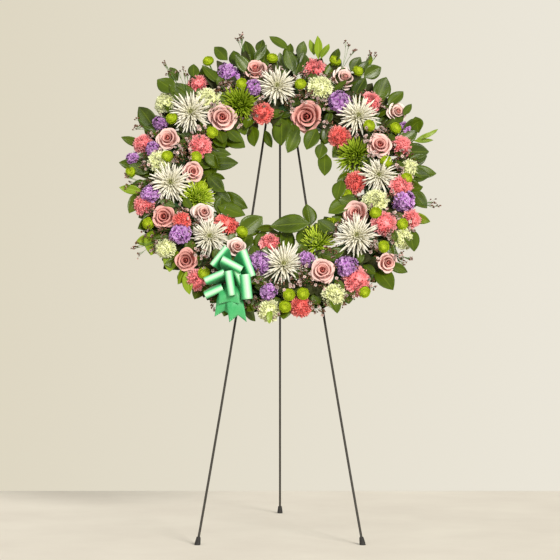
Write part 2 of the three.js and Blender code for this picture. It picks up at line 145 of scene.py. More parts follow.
def standing(clock, distance, middle):
    """Where a bloom's face stands and which way it faces, when its middle shows at a layout place."""
    across, up, _ = ring_point(clock, distance, 0.0)
    face = ring_point(clock, distance, face_height(distance))
    for _ in range(8):
        reach = np.hypot(face[0], face[1])
        axis = face_axis(np.degrees(np.arctan2(face[0], face[1])), reach)
        face = as_seen(across, up, face_height(reach) - middle * axis[2]) + middle * axis
    return face, axis


# ---- shapes made of grids


class Shape:
    """Grids of points. Each point knows its place on its petal or leaf, and each grid its material."""

    def __init__(self):
        self.points, self.faces, self.marks, self.slots = [], [], [], []
        self.count = 0

    def add(self, grids, tone=0.5, layer=0.5, slot=0, closed=False, thick=0.0, capped=False):
        """Adds grids, an array of (grids, rows, columns, 3). tone and layer are one number or one a grid.
        closed joins the last column to the first. thick gives a sheet a back and a thickness, and
        capped closes its first and last rows."""
        number, rows, columns, _ = grids.shape
        along = np.linspace(0, 1, rows)[None, :, None]
        across = np.linspace(0, 1, columns)[None, None, :]
        if thick:
            swell = np.sqrt(np.sin(np.pi * np.clip(along, 0.02, 0.98)))[..., None]
            back = grids - grid_normals(grids) * thick * swell
            grids = np.concatenate([grids, back[:, :, ::-1]], 2)
            across = np.concatenate([across, across[:, :, ::-1]], 2)
            columns, closed = 2 * columns, True
        index = self.count + np.arange(number * rows * columns).reshape(number, rows, columns)
        here, there = (index, np.roll(index, -1, 2)) if closed else (index[:, :, :-1], index[:, :, 1:])
        quads = np.stack([here[:, :-1], here[:, 1:], there[:, 1:], there[:, :-1]], -1).reshape(-1, 4)
        if capped:
            half = columns // 2
            for row, turn in ((0, 1), (rows - 1, -1)):
                front, back = index[:, row, :half], index[:, row, : half - 1 : -1]
                cap = np.stack([front[:, :-1], front[:, 1:], back[:, 1:], back[:, :-1]], -1).reshape(-1, 4)
                quads = np.concatenate([quads, cap[:, ::turn]])
        each = np.ones((number, rows, columns))
        tone, layer = (np.broadcast_to(value, number)[:, None, None] for value in (tone, layer))
        marks = np.stack([along * each, across * each, tone * each, layer * each], -1)
        self.points.append(grids.reshape(-1, 3))
        self.marks.append(marks.reshape(-1, 4))
        self.faces.append(quads)
        self.slots.append(np.full(len(quads), slot))
        self.count += number * rows * columns

    def add_solid(self, grids, tone=0.4, layer=0.5, slot=1):
        """Adds closed grids, such as a cup, core or stem, in a material of their own."""
        self.add(grids, tone, layer, slot, closed=True)

    def moved(self, basis, origin):
        """The same shape with its X, Y and Z along the rows of basis, and its origin moved."""
        self.points = [points @ basis + origin for points in self.points]
        return self

    def join(self, other):
        """Adds another shape's grids to this one."""
        self.faces += [faces + self.count for faces in other.faces]
        self.points += other.points
        self.marks += other.marks
        self.slots += other.slots
        self.count += other.count


def grid_normals(grids):
    """Unit normals of grids of points."""
    down = np.gradient(grids, axis=1)
    side = np.gradient(grids, axis=2)
    return unit(np.cross(down, side))


def make_piece(name, shape, materials, stands_for=()):
    """Turns a shape into a piece that rides on the wreath and stands for CAD nodes."""
    points = np.concatenate(shape.points) * MM
    points = points @ np.stack([ring_right, ring_up, ring_out]) + ring_centre
    faces = np.concatenate(shape.faces)
    mesh = bpy.data.meshes.new(name)
    mesh.from_pydata(points.tolist(), [], faces.tolist())
    marks = np.concatenate(shape.marks).astype(np.float32)
    for k, mark in enumerate(("along", "across", "tone", "layer")):
        mesh.attributes.new(mark, "FLOAT", "POINT").data.foreach_set("value", marks[:, k].copy())
    for material in materials:
        mesh.materials.append(material)
    mesh.polygons.foreach_set("material_index", np.concatenate(shape.slots).astype(np.int32))
    mesh.polygons.foreach_set("use_smooth", np.ones(len(faces), bool))
    mesh.update()
    piece = bpy.data.objects.new(name, mesh)
    bpy.context.collection.objects.link(piece)
    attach(piece, WREATH)
    if stands_for:
        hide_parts(*stands_for)
    return piece


# ---- petals


def centre_lines(length, low, high, radius, height, rows, power=1.0):
    """Lines that bend from one elevation to another, as the radius, height and tilt of (petals, rows)."""
    t = np.linspace(0, 1, rows)[None]
    low, high, length = (np.asarray(value, float).reshape(-1, 1) for value in (low, high, length))
    tilt = np.radians(low + (high - low) * t**power)
    step = length / (rows - 1)
    middle = (tilt[:, 1:] + tilt[:, :-1]) / 2
    start = np.zeros((len(tilt), 1))
    out = radius + np.concatenate([start, np.cumsum(np.cos(middle) * step, 1)], 1)
    up = height + np.concatenate([start, np.cumsum(np.sin(middle) * step, 1)], 1)
    return out, up, tilt


def on_petal(spin, out, up, tilt, side, lift):
    """Points beside and above a petal's centre line, as a grid for each petal."""
    spin = np.asarray(spin)[:, None, None]
    out, up, tilt = (value[:, :, None] for value in (out, up, tilt))
    far = out - np.sin(tilt) * lift
    return np.stack([
        far * np.cos(spin) - side * np.sin(spin),
        far * np.sin(spin) + side * np.cos(spin),
        up + np.cos(tilt) * lift,
    ], -1)


def quills(rng, count, length, low, high, width, radius, height, sides=5, rows=7, flat=0.6, loose=6.0):
    """Thin tubular petals that widen towards a blunt tip."""
    spin = (np.arange(count) + rng.uniform(-0.35, 0.35, count)) * 2 * np.pi / count
    lengths = length * rng.uniform(0.74, 1.12, count)
    lows = low + rng.uniform(-loose, loose, count)
    highs = high + rng.uniform(-1.6 * loose, 2.2 * loose, count)
    out, up, tilt = centre_lines(lengths, lows, highs, radius, height, rows, 1.8)
    t = np.linspace(0, 1, rows)
    swell = 0.42 + 0.58 * np.sin(np.pi * np.clip(t * 0.9, 0, 1) ** 1.7)
    swell[-1] = 0.16
    around = np.linspace(0, 2 * np.pi, sides, endpoint=False)
    half = width / 2 * rng.uniform(0.85, 1.15, count)[:, None, None] * swell[None, :, None]
    sway = rng.uniform(-0.16, 0.16, count)[:, None, None] * lengths[:, None, None] * (t**2)[None, :, None]
    return on_petal(spin, out, up, tilt, half * np.cos(around) + sway, flat * half * np.sin(around))


def blades(rng, spin, length, low, high, width, radius, height, outline, rows=6, columns=5, cup=0.0,
           ruffle=0.0, waves=2.0, ragged=0.0, loose=4.0):
    """Flat or cupped petals. outline is the width's share at places along the petal, root to tip."""
    count = len(spin)
    lengths = length * rng.uniform(0.9, 1.08, count)
    jitter = rng.uniform(-loose, loose, count)
    out, up, tilt = centre_lines(lengths, low + jitter, high + jitter, radius, height, rows)
    t = np.linspace(0, 1, rows)
    x = np.linspace(-1, 1, columns)[None, None]
    share = np.interp(t, np.linspace(0, 1, len(outline)), outline)
    half = width / 2 * rng.uniform(0.9, 1.1, count)[:, None, None] * share[None, :, None]
    grow = (t**2)[None, :, None]
    phase = rng.uniform(0, 2 * np.pi, (count, 1, 1))
    wave = np.sin(x * waves * np.pi + phase) + 0.5 * np.sin(x * waves * 5.3 + 2 * phase)
    lift = cup * half * x**2 + ruffle * wave * grow
    grids = on_petal(spin, out, up, tilt, half * x, lift)
    if ragged:
        fringe = rng.uniform(-ragged, ragged, (count, 1, columns)) * (t**4)[None, :, None]
        direction = unit(grids[:, -1:] - grids[:, :1])
        grids = grids + direction * fringe[..., None]
    return grids


def wrapped_petals(rng, spin, line, span, drop, spiral, rows=12, columns=13, loose=1.0):
    """Petals that wrap round the axis. line is their [radius, height] profile from root to rim."""
    count = len(spin)
    line = np.asarray(line, float)
    t = np.linspace(0, 1, rows)[None, :, None]
    x = np.linspace(-1, 1, columns)[None, None, :]
    sizes = rng.uniform(1 - 0.05 * loose, 1 + 0.05 * loose, (count, 1, 1))
    peak = 0.035 * np.exp(-((x / 0.25) ** 2)) * loose
    place = t * (1 - drop * np.abs(x) ** 2.6 + peak - 0.035 * loose) * (len(line) - 1)
    stops = np.arange(len(line))
    radius = np.interp(place, stops, line[:, 0]) * sizes
    height = np.interp(place, stops, line[:, 1]) * sizes
    wide = np.sin(np.pi / 2 * np.clip(0.35 + 0.9 * t, 0, 1))
    side = math.radians(span) / 2 * wide * x
    radius = radius + spiral * x + loose * 0.7 * np.sin(3 * x + rng.uniform(0, 6, (count, 1, 1))) * t**2
    angle = np.asarray(spin)[:, None, None] + side
    return np.stack(np.broadcast_arrays(radius * np.cos(angle), radius * np.sin(angle), height), -1)


def smooth_line(points, steps=24):
    """A rounded profile through given points."""
    points = np.asarray(points, float)
    t = np.linspace(0, len(points) - 1, steps)
    k = np.clip(t.astype(int), 0, len(points) - 2)
    f = (t - k)[:, None]
    padded = np.concatenate([2 * points[:1] - points[1:2], points, 2 * points[-1:] - points[-2:-1]])
    a, b, c, d = (padded[k + i] for i in range(4))
    return 0.5 * (2 * b + (c - a) * f + (2 * a - 5 * b + 4 * c - d) * f**2 + (3 * b - a - 3 * c + d) * f**3)


def tube(points, radius, sides=6):
    """A round stem along points, as one closed grid."""
    points = np.asarray(points, float)
    direction = unit(np.gradient(points, axis=0))
    guide = np.array([0.31, 0.52, 0.79])
    first = unit(np.cross(direction, guide))
    second = np.cross(direction, first)
    around = np.linspace(0, 2 * np.pi, sides, endpoint=False)[None, :, None]
    radius = np.broadcast_to(radius, len(points))[:, None, None]
    ring = first[:, None] * np.cos(around) + second[:, None] * np.sin(around)
    return (points[:, None] + ring * radius)[None]


def turned(profile, sides=16):
    """A [radius, height] profile turned about Z, as one closed grid."""
    profile = np.asarray(profile, float)
    around = np.linspace(0, 2 * np.pi, sides, endpoint=False)
    radius = profile[:, :1]
    height = np.repeat(profile[:, 1:], sides, 1)
    return np.stack([radius * np.cos(around), radius * np.sin(around), height], -1)[None, :, ::-1]


# ---- blooms, each facing +Z with its base at 0

GOLDEN_TURN = math.radians(137.5)
FACING = 1.1  # how strongly the blooms are turned towards the viewer
WOBBLE = np.radians(6.0)  # how far each bloom is tipped at random
heads = []  # across, up and half the width of every bloom placed
# Each kind's height of face over base, how far its middle lies behind its face, and its width.
HEADS = {
    "white_spider_mum": (44, 18, 130), "green_spider_mum": (50, 18, 94), "pink_rose": (52, 18, 95),
    "coral_carnation": (40, 14, 62), "edge_carnation": (40, 14, 62), "pale_carnation": (40, 14, 61),
    "purple_stock": (44, 14, 76), "button_mum": (20, 8, 38),
}


def white_spider_mum(rng):
    """Layers of long white quills round a small yellow-green eye."""
    shape = Shape()
    layers = [  # count, length, elevation at the root and tip, width, height of the root
        (22, 65, 4, 0, 5.0, 10), (24, 64, 14, 8, 5.2, 11), (24, 58, 25, 20, 5.2, 12),
        (24, 50, 36, 34, 5.0, 13), (22, 40, 48, 50, 4.6, 14), (18, 30, 60, 66, 4.2, 15),
        (14, 22, 70, 80, 3.8, 15),
    ]
    for k, (count, length, low, high, width, height) in enumerate(layers):
        tone = rng.uniform(0, 1, count)
        shape.add(quills(rng, count, length, low, high, width, 4, height), tone, k / 8, closed=True)
    for count, length, low, radius in ((14, 15, 68, 4.5), (10, 12, 80, 2.5)):
        eye = quills(rng, count, length, low, low + 35, 2.8, radius, 15, rows=5)
        shape.add(eye, rng.uniform(0, 1, count), 1.0, closed=True)
    add_green_cup(shape, 13, 14)
    return shape


def green_spider_mum(rng):
    """A denser head of short green quills that turn inwards towards the middle."""
    shape = Shape()
    layers = [  # count, length, elevation at the root and tip, width, height of the root
        (38, 50, 0, 8, 3.8, 10), (40, 50, 13, 24, 3.8, 12), (40, 48, 27, 42, 3.6, 13),
        (38, 45, 40, 60, 3.5, 14), (34, 40, 52, 78, 3.4, 15), (26, 34, 64, 96, 3.2, 16),
        (18, 27, 76, 110, 3.0, 16), (10, 21, 84, 125, 3.0, 16),
    ]
    for k, (count, length, low, high, width, height) in enumerate(layers):
        petals = quills(rng, count, length, low, high, width, 4, height, sides=4, loose=5)
        shape.add(petals, rng.uniform(0, 1, count), k / 7, closed=True)
    add_green_cup(shape, 14, 13)
    return shape


def rose(rng):
    """A half-open rose: a tight spiral heart, cupped petals and guard petals that roll outwards."""
    shape = Shape()
    layers = [  # number of petals, span in degrees, spiral, drop, profile from root to rim
        (2, 330, 1.4, 0.06, [(1, 12), (3.5, 24), (5, 36), (5, 45), (3.6, 50)]),
        (3, 205, 2.6, 0.12, [(3, 10), (9, 22), (12, 34), (12.5, 44), (17, 49)]),
        (3, 182, 3.6, 0.22, [(4, 8), (15, 17), (20.5, 29), (21.5, 39), (29, 43.5)]),
        (5, 118, 3.4, 0.3, [(4, 6), (21, 11), (31, 20), (35, 30), (45, 33)]),
        (4, 104, 2.0, 0.34, [(4, 5), (21, 8), (33, 15), (39, 22), (48, 20)]),
    ]
    for k, (count, span, spiral, drop, line) in enumerate(layers):
        spin = (np.arange(count) + rng.uniform(-0.2, 0.2, count) + k * 0.37) * 2 * np.pi / count
        profile = smooth_line(line)
        petals = wrapped_petals(rng, spin, profile, span, drop, spiral, loose=0.6 + 0.3 * k)
        shape.add(petals, rng.uniform(0, 1, count), k / 4, thick=0.35)
    for sepal in range(5):
        spin = np.array([sepal * 2 * np.pi / 5])
        blade = blades(rng, spin, 30, 8, 28, 9, 4, 4, (0.7, 1, 0.7, 0.4, 0.05), rows=5, columns=3, cup=-0.2)
        shape.add(blade, 0.4, slot=1, thick=0.5)
    shape.add_solid(turned([(0, -7), (6, -6), (9, 0), (9, 5), (3, 9), (0, 10)], 10))
    return shape


def carnation(rng):
    """A dome of crowded, fan-shaped petals with ruffled, ragged rims, in a green calyx."""
    shape = Shape()
    count = 48
    share = (np.arange(count) + 0.5) / count
    tilt = 88 - 86 * share**0.62
    spin = np.arange(count) * GOLDEN_TURN + rng.uniform(-0.25, 0.25, count)
    inwards = 46 * (1 - share) ** 3
    fan = (0.16, 0.32, 0.62, 0.92, 1.04)
    petals = blades(rng, spin, 26 + 7 * share, tilt + 14, tilt - 12 + inwards, 24, 1, 9, fan,
                    columns=15, ruffle=4.2, waves=3.3, ragged=2.8, loose=11)
    shape.add(petals, rng.uniform(0, 1, count), 1 - share)
    cushion = turned([(0, 9), (13, 13), (21, 21), (20, 28), (11, 33), (0, 34)], 14)
    shape.add_solid(cushion, 0.8, 1.0, 0)
    shape.add_solid(turned([(0, -16), (4, -15), (5.5, -4), (8, 8), (5, 12), (0, 12)], 10))
    return shape


def button_mum(rng, radius=19):
    """A green button: a cushion of short scooped petals with a dimple in the middle."""
    shape = Shape()
    core = [(0, 2), (9, 3), (radius - 3, 9), (radius - 4, 15), (10, 18), (4, 16.5), (0, 15)]
    shape.add_solid(turned(core, 14), 0.3, 0.3, 0)
    layers = [  # count, length, tilt, radius and height of the root
        (22, 9, 8, radius - 8, 6), (22, 9, 30, radius - 8, 9), (20, 8, 55, radius - 9, 12),
        (18, 8, 80, radius - 9, 13), (15, 7, 102, radius - 10, 13), (12, 6, 112, radius - 13, 12.5),
    ]
    for k, (count, length, tilt, out, height) in enumerate(layers):
        spin = (np.arange(count) + 0.5 * (k % 2)) * 2 * np.pi / count
        petals = blades(rng, spin, length, tilt - 14, tilt + 34, 5.6, out, height, (0.8, 1, 0.95, 0.55),
                        rows=4, columns=3, cup=0.5)
        shape.add(petals, rng.uniform(0, 1, count), k / 5)
    add_green_cup(shape, 8, 3)
    return shape


def stock(rng):
    """A head of purple stock: small crinkled florets crowded over an oval dome."""
    shape = Shape()
    count = 15
    for k in range(count):
        share = (k + 0.5) / count
        tilt = np.arccos(1 - 1.02 * share)
        spin = k * GOLDEN_TURN + rng.uniform(-0.2, 0.2)
        axis = np.array([np.sin(tilt) * np.cos(spin), np.sin(tilt) * np.sin(spin), np.cos(tilt)])
        tuft = Shape()
        tone = rng.uniform(0, 1)
        for number, low, length, width, height in ((4, 20, 15, 15, 1), (4, 52, 9.5, 11, 2)):
            turn = (np.arange(number) + rng.uniform(-0.25, 0.25, number)) * 2 * np.pi / number
            petals = blades(rng, turn, length, low, low - 26, width, 1, height, (0.2, 0.7, 1, 0.95, 0.6),
                            columns=7, ruffle=1.2, waves=1.3, loose=12)
            tuft.add(petals, tone, (low - 20) / 32)
        reach = rng.uniform(0.8, 1.2)
        place = axis * [24, 27, 26] * reach + [0, 0, 13]
        shape.join(tuft.moved(axes_round(axis, (0.2, 0.3, 0.9)), place))
    shape.add_solid(turned([(0, 0), (6, 2), (20, 12), (19, 26), (0, 35)], 10), 0.3)
    return shape


def add_green_cup(shape, radius, height):
    """The green bracts under a daisy-like head."""
    profile = [(0, 0), (3, 0.5), (radius * 0.8, height * 0.5), (radius, height),
               (radius * 0.5, height + 2), (0, height + 3)]
    shape.add_solid(turned(profile, 12))


def add_stem(shape, base, axis, distance, clock):
    """A stem that curves from the bloom's base into the foam."""
    end = ring_point(clock, FOAM_MIDDLE + (distance - FOAM_MIDDLE) * 0.3, STEM_DEPTH)
    knee = base - axis * 16
    line = smooth_line([base, (base + knee) / 2, knee * 0.6 + end * 0.4, end], 7)
    shape.add_solid(tube(line, STEM_RADIUS), 0.5)


def place_bloom(shape, rng, kind, clock, distance, width):
    """Stands a bloom of some width where it shows at a layout place, with its stem in the foam."""
    head_height, middle, full_width = HEADS[kind]
    face, axis = standing(clock, distance, middle)
    size = width / full_width
    turn = rng.uniform(0, 2 * np.pi)
    tipped = unit(axis + FACING * TO_VIEWER + WOBBLE * rng.uniform(-1, 1, 3))
    base = face - tipped * head_height * size
    shape.moved(axes_round(tipped, (np.cos(turn), np.sin(turn), 0.1)) * size, base)
    add_stem(shape, base, tipped, np.hypot(face[0], face[1]), np.degrees(np.arctan2(face[0], face[1])))
    heads.append((face[0], face[1], width / 2))


# ---- leaves


LEAF_OUTLINE = np.array([0.06, 0.46, 0.82, 0.98, 1.0, 0.93, 0.76, 0.46, 0.05])  # its width from root to tip
LEAF_COLUMNS = 7
LEAF_FOLD = 0.22  # how far its sides rise, for their width
LEAF_RIPPLE = 1.2


def leaf_grids(rng, root, direction, face, length, width, bend):
    """Leaves that start at root points and run along directions, with their faces turned towards face."""
    count = len(root)
    t = np.linspace(0, 1, len(LEAF_OUTLINE))
    x = np.linspace(-1, 1, LEAF_COLUMNS)[None, None, :]
    share = LEAF_OUTLINE[None, :, None]
    sizes = (np.broadcast_to(value, count).astype(float) for value in (length, width, bend))
    length, width, bend = (size[:, None, None] for size in sizes)
    forward = unit(direction)
    normal = unit(face - (face * forward).sum(-1, keepdims=True) * forward)
    side = np.cross(normal, forward)
    half = width / 2 * share
    curl = np.sin(np.pi * t / 2)[None, :, None] ** 2
    phase = rng.uniform(0, 6, (count, 1, 1))
    ripple = LEAF_RIPPLE * np.sin(t[None, :, None] * 7 + phase + x) * np.abs(x) ** 2
    lift = LEAF_FOLD * half * np.abs(x) ** 1.3 - bend * curl + ripple
    run = length * t[None, :, None] * (1 - 0.12 * (bend / np.maximum(length, 1)) * curl)
    sway = rng.uniform(-0.08, 0.08, (count, 1, 1)) * length * t[None, :, None] ** 2
    return (root[:, None, None] + forward[:, None, None] * run[..., None]
            + side[:, None, None] * (half * x + sway)[..., None] + normal[:, None, None] * lift[..., None])


# ---- materials


class Nodes:
    """A short way to write the nodes of a material or of the world."""

    def __init__(self, owner):
        owner.use_nodes = True
        self.owner = owner
        self.tree = owner.node_tree
        self.shader = self.tree.nodes.get("Principled BSDF")

    def node(self, kind, inputs=(), **settings):
        made = self.tree.nodes.new(kind)
        for key, value in settings.items():
            setattr(made, key, value)
        for key, value in dict(inputs).items():
            self.put(made.inputs[key], value)
        return made

    def put(self, socket, value):
        if isinstance(value, bpy.types.NodeSocket):
            self.tree.links.new(value, socket)
        else:
            socket.default_value = value

    def mark(self, name):
        """One of a shape's marks, which runs from 0 to 1."""
        return self.node("ShaderNodeAttribute", attribute_name=name).outputs["Fac"]

    def noise(self, scale, detail=3.0, roughness=0.55, stretch=None):
        place = self.node("ShaderNodeTexCoord").outputs["Object"]
        if stretch:
            place = self.node("ShaderNodeMapping", {"Vector": place, "Scale": stretch}).outputs["Vector"]
        inputs = {"Vector": place, "Scale": scale, "Detail": detail, "Roughness": roughness}
        return self.node("ShaderNodeTexNoise", inputs).outputs["Fac"]

    def ramp(self, value, stops):
        """Colours or greys at places from 0 to 1."""
        made = self.node("ShaderNodeValToRGB", {"Fac": value})
        elements = made.color_ramp.elements
        while len(elements) < len(stops):
            elements.new(0.5)
        for element, (place, colour) in zip(elements, stops):
            element.position = place
            element.color = colour if len(colour) == 4 else (*colour, 1)
        return made.outputs["Color"]

    def mix(self, share, first, second, how="MIX"):
        made = self.node("ShaderNodeMix", data_type="RGBA", blend_type=how)
        for key, value in ((0, share), (6, first), (7, second)):
            if isinstance(value, tuple):
                value = (*value, 1)
            self.put(made.inputs[key], value)
        return made.outputs[2]

    def sum(self, first, second, how="ADD"):
        made = self.node("ShaderNodeMath", operation=how)
        self.put(made.inputs[0], first)
        self.put(made.inputs[1], second)
        return made.outputs["Value"]

    def bump(self, height, distance, strength=0.6):
        inputs = {"Height": height, "Distance": distance, "Strength": strength}
        self.put(self.shader.inputs["Normal"], self.node("ShaderNodeBump", inputs).outputs["Normal"])

    def finish(self, colour, roughness, **constants):
        self.put(self.shader.inputs["Base Color"], colour)
        self.put(self.shader.inputs["Roughness"], roughness)
        for key, value in constants.items():
            self.shader.inputs[key.replace("_", " ")].default_value = value
        return self.owner


def grey(value):
    """A grey as a colour."""
    return (value, value, value)


def petal_material(name, root, middle, tip, heart=None, rough=0.55, veins=14, spread=0.25):
    """Petals coloured from root to tip, deeper in the heart of the bloom, with fine lengthwise veins."""
    n = Nodes(bpy.data.materials.new(name))
    colour = n.ramp(n.mark("along"), [(0.05, root), (0.45, middle), (0.97, tip)])
    if heart:
        share = n.ramp(n.mark("layer"), heart[0])
        colour = n.mix(share, colour, heart[1])
    shade = n.ramp(n.mark("tone"), [(0, grey(1 - spread)), (1, grey(1.0))])
    colour = n.mix(1.0, colour, shade, "MULTIPLY")
    mottle = n.ramp(n.noise(140), [(0.3, grey(0.86)), (0.7, grey(1.0))])
    colour = n.mix(1.0, colour, mottle, "MULTIPLY")
    lines = n.node("ShaderNodeMath", operation="SINE")
    n.put(lines.inputs[0], n.sum(n.mark("across"), veins * math.pi, "MULTIPLY"))
    n.bump(n.sum(lines.outputs["Value"], n.noise(900, 2.0)), 0.0003, 0.5)
    return n.finish(colour, rough, Specular_IOR_Level=0.15)


def leaf_material(name, dark, light, rib, rough=0.32):
    """A waxy leaf: darker and lighter patches, a pale midrib and side veins."""
    n = Nodes(bpy.data.materials.new(name))
    across = n.mark("across")
    along = n.mark("along")
    colour = n.mix(n.ramp(n.noise(22, 2.0), [(0.3, grey(0)), (0.75, grey(1))]), dark, light)
    colour = n.mix(n.sum(n.mark("tone"), 0.75, "MULTIPLY"), colour, light)
    off = n.node("ShaderNodeMath", operation="ABSOLUTE")
    n.put(off.inputs[0], n.sum(across, 0.5, "SUBTRACT"))
    off = off.outputs["Value"]
    midrib = n.ramp(off, [(0.0, grey(1)), (0.045, grey(0))])
    slanted = n.sum(n.sum(along, 9.0, "MULTIPLY"), n.sum(off, 7.0, "MULTIPLY"), "SUBTRACT")
    wave = n.node("ShaderNodeMath", operation="SINE")
    n.put(wave.inputs[0], n.sum(slanted, 2 * math.pi, "MULTIPLY"))
    side_veins = n.ramp(wave.outputs["Value"], [(0.86, grey(0)), (1.0, grey(0.4))])
    colour = n.mix(n.sum(side_veins, 0.35, "MULTIPLY"), colour, rib)
    colour = n.mix(n.sum(midrib, 0.7, "MULTIPLY"), colour, rib)
    relief = n.sum(n.sum(midrib, side_veins), n.sum(n.noise(260, 2.0), 0.5, "MULTIPLY"))
    n.bump(relief, 0.0005, 0.5)
    roughness = n.sum(n.sum(n.noise(60), 0.2, "MULTIPLY"), rough - 0.1, "ADD")
    return n.finish(colour, roughness, Specular_IOR_Level=0.3)


def plain_material(name, dark, light, rough, scale, bump=0.0004, **constants):
    """A surface with fine mottling and grain."""
    n = Nodes(bpy.data.materials.new(name))
    grain = n.noise(scale, 5.0)
    n.bump(grain, bump, 0.5)
    colour = n.mix(n.ramp(grain, [(0.35, grey(0)), (0.7, grey(1))]), dark, light)
    roughness = n.sum(n.sum(grain, 0.2, "MULTIPLY"), rough - 0.1, "ADD")
    return n.finish(colour, roughness, **constants)


MUM_HEART = ([(0.45, grey(0.0)), (0.9, grey(0.4)), (1.0, grey(0.85))], (0.62, 0.64, 0.22))
white = petal_material("white_petals", (0.5, 0.5, 0.2), (0.86, 0.82, 0.64), (0.96, 0.93, 0.82), MUM_HEART,
                       veins=6, spread=0.1)
green_bright = petal_material("green_mum_bright", (0.2, 0.36, 0.0), (0.48, 0.7, 0.01), (0.8, 0.95, 0.12),
                              veins=6)
green_dark = petal_material("green_mum_dark", (0.05, 0.1, 0.0), (0.2, 0.33, 0.0), (0.5, 0.66, 0.05),
                            veins=6)
ROSE_DEPTH = [(0.0, grey(0.85)), (0.35, grey(0.3)), (0.75, grey(0.0))]
rose_deep = petal_material("rose_dusty_coral", (0.68, 0.22, 0.17), (0.84, 0.34, 0.29), (0.92, 0.48, 0.43),
                           (ROSE_DEPTH, (0.6, 0.1, 0.08)), rough=0.5)
rose_mid = petal_material("rose_pink", (0.9, 0.44, 0.38), (0.96, 0.55, 0.5), (0.98, 0.67, 0.61),
                          (ROSE_DEPTH, (0.86, 0.24, 0.2)), rough=0.5)
rose_pale = petal_material("rose_blush", (0.93, 0.62, 0.52), (0.98, 0.73, 0.66), (0.99, 0.82, 0.76),
                           (ROSE_DEPTH, (0.92, 0.37, 0.32)), rough=0.5)
CARNATION_DEPTH = [(0.0, grey(0.0)), (1.0, grey(0.4))]
coral = petal_material("carnation_coral", (0.86, 0.05, 0.08), (1.0, 0.17, 0.2), (1.0, 0.48, 0.48),
                       (CARNATION_DEPTH, (1.0, 0.2, 0.22)))
red = petal_material("carnation_red", (0.6, 0.02, 0.02), (0.94, 0.09, 0.08), (0.98, 0.34, 0.3),
                     (CARNATION_DEPTH, (0.92, 0.09, 0.08)))
pale_green = petal_material("carnation_pale_green", (0.66, 0.76, 0.14), (0.87, 0.93, 0.38),
                            (0.96, 0.98, 0.64))
purple = petal_material("stock_purple", (0.19, 0.025, 0.24), (0.4, 0.1, 0.5), (0.74, 0.42, 0.84),
                        ([(0.0, grey(0.0)), (1.0, grey(0.3))], (0.88, 0.66, 0.92)), spread=0.45)
lime = petal_material("button_lime", (0.12, 0.2, 0.0), (0.34, 0.48, 0.005), (0.58, 0.7, 0.03), spread=0.2)
blossom = petal_material("filler_blossom", (0.5, 0.26, 0.22), (0.74, 0.52, 0.47), (0.86, 0.72, 0.67),
                         spread=0.6)
bud = petal_material("filler_bud", (0.06, 0.022, 0.01), (0.2, 0.075, 0.04), (0.42, 0.24, 0.16), spread=0.7)
salal = leaf_material("salal_leaf", (0.014, 0.028, 0.001), (0.074, 0.118, 0.002), (0.13, 0.18, 0.008))
light_leaf = leaf_material("young_leaf", (0.09, 0.15, 0.003), (0.22, 0.32, 0.012), (0.34, 0.44, 0.06))
# A near-black leaf for leaves deep among the blooms, darkened as painted shade in the gaps.
painted_shade_leaf = leaf_material("under_leaf_painted_shade", (0.012, 0.013, 0.001), (0.034, 0.04, 0.003), (0.05, 0.06, 0.008),
                          rough=0.7)
stem_green = plain_material("stem_green", (0.06, 0.13, 0.02), (0.14, 0.26, 0.05), 0.5, 90)
wire_black = plain_material("easel_wire", (0.016, 0.013, 0.009), (0.032, 0.027, 0.018), 0.38, 220, 0.0002,
                            Specular_IOR_Level=0.6)
rubber = plain_material("tip_rubber", (0.012, 0.011, 0.01), (0.028, 0.026, 0.024), 0.78, 300)
foam_green = plain_material("wet_foam", (0.015, 0.045, 0.012), (0.04, 0.1, 0.03), 0.95, 500, 0.001)
tray_green = plain_material("tray_plastic", (0.012, 0.05, 0.02), (0.02, 0.075, 0.03), 0.45, 160, 0.0002)

# ---- where the blooms stand

# Every bloom as it is seen from in front: clock angle in degrees, distance from the ring's centre, width.
WHITE_MUMS = [
    (0, 330, 124), (48, 335, 128), (87, 308, 112), (129, 305, 132), (176, 290, 134), (226, 285, 116),
    (268, 322, 126), (312, 355, 130),
]
GREEN_MUMS = [(69, 250, 110), (151, 240, 112), (257, 248, 104), (337, 295, 112)]
ROSES = [
    (22, 245, 97), (30, 415, 84), (57, 435, 66), (69, 334, 78), (116, 265, 80), (131, 428, 64),
    (157, 340, 74), (207, 268, 66), (224, 384, 72), (243, 255, 74), (249, 360, 72), (276, 262, 68),
    (293, 360, 72), (322, 278, 90), (350, 394, 80),
]
CORAL_CARNATIONS = [
    (16, 420, 76), (46, 400, 68), (51, 245, 64), (91, 238, 66), (115, 352, 72), (185, 215, 66),
    (226, 212, 72), (297, 266, 72), (349, 240, 64),
]
EDGE_CARNATIONS = [
    (72, 397, 64), (93, 372, 66), (108, 424, 54), (146, 418, 82), (171, 436, 62), (215, 418, 62),
    (244, 318, 52), (258, 412, 64), (288, 432, 60), (324, 426, 66),
]
PALE_CARNATIONS = [
    (22, 352, 74), (84, 404, 60), (103, 302, 70), (118, 425, 62), (157, 430, 66), (183, 446, 62),
    (235, 406, 58), (281, 362, 68), (309, 446, 70), (323, 356, 72),
]
STOCK = [
    (35, 336, 82), (65, 430, 50), (101, 388, 80), (145, 358, 74), (184, 385, 58), (191, 290, 80),
    (237, 345, 70), (263, 387, 66), (299, 410, 54), (338, 420, 84), (347, 330, 58), (286, 393, 54),
    (162, 286, 54), (280, 445, 46),
]
BUTTONS = [
    (333, 475), (358, 434), (23, 462), (12, 343), (342, 354), (304, 389), (310, 261), (288, 261),
    (284, 344), (63, 405), (79, 335), (56, 338), (33, 463), (89, 389), (103, 218), (132, 220), (112, 401),
    (126, 388), (211, 207), (175, 393), (169, 396), (177, 432), (146, 459), (214, 384), (265, 230),
    (274, 445), (111, 315), (249, 412),
]
